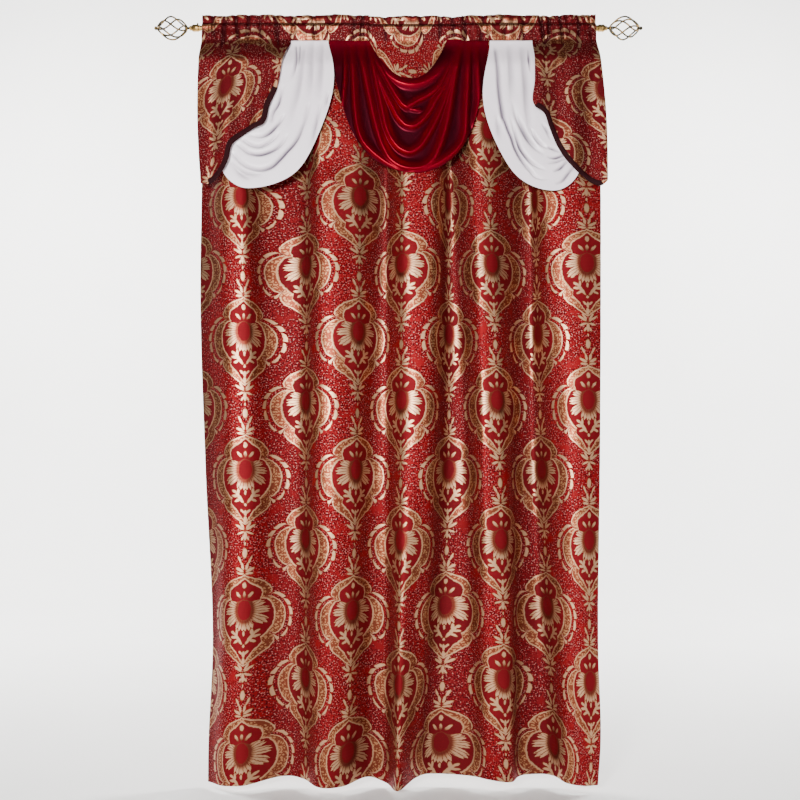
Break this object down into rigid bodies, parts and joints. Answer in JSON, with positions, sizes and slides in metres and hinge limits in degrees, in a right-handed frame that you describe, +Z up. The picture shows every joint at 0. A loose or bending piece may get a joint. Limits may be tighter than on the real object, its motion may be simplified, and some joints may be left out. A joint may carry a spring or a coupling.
{
  "type": "curtain panel with attached valance on a curtain rod",
  "caption": "Jacquard curtain panel with swag and jabot valance, gathered by its rod pocket on a metal rod with twisted cage finials.",
  "frame": {"origin": "on the rod's axis at the middle of the rod's length", "axes": "+Z up, +X along the rod to the viewer's right, -Y towards the room (the front)"},
  "size_m": [1.3874, 0.1069, 2.1403],
  "materials": {
    "red_jacquard": "woven damask jacquard, low sheen",
    "dark_binding": "plain dark maroon binding",
    "white_satin": "soft satin",
    "burgundy_satin": "glossy satin",
    "antique_brass": "antique brass paint with rubbed highlights"
  },
  "bodies": {
    "root": {"panel": "red_jacquard", "valance_left": "red_jacquard", "valance_right": "red_jacquard", "binding_left": "dark_binding", "binding_right": "dark_binding", "swag_red": "burgundy_satin", "swag_white_left": "white_satin", "swag_white_right": "white_satin", "rod": "antique_brass", "collar_left": "antique_brass", "collar_right": "antique_brass", "cage_left": "antique_brass", "cage_right": "antique_brass", "set_screw": "antique_brass"}
  },
  "joints": []
}
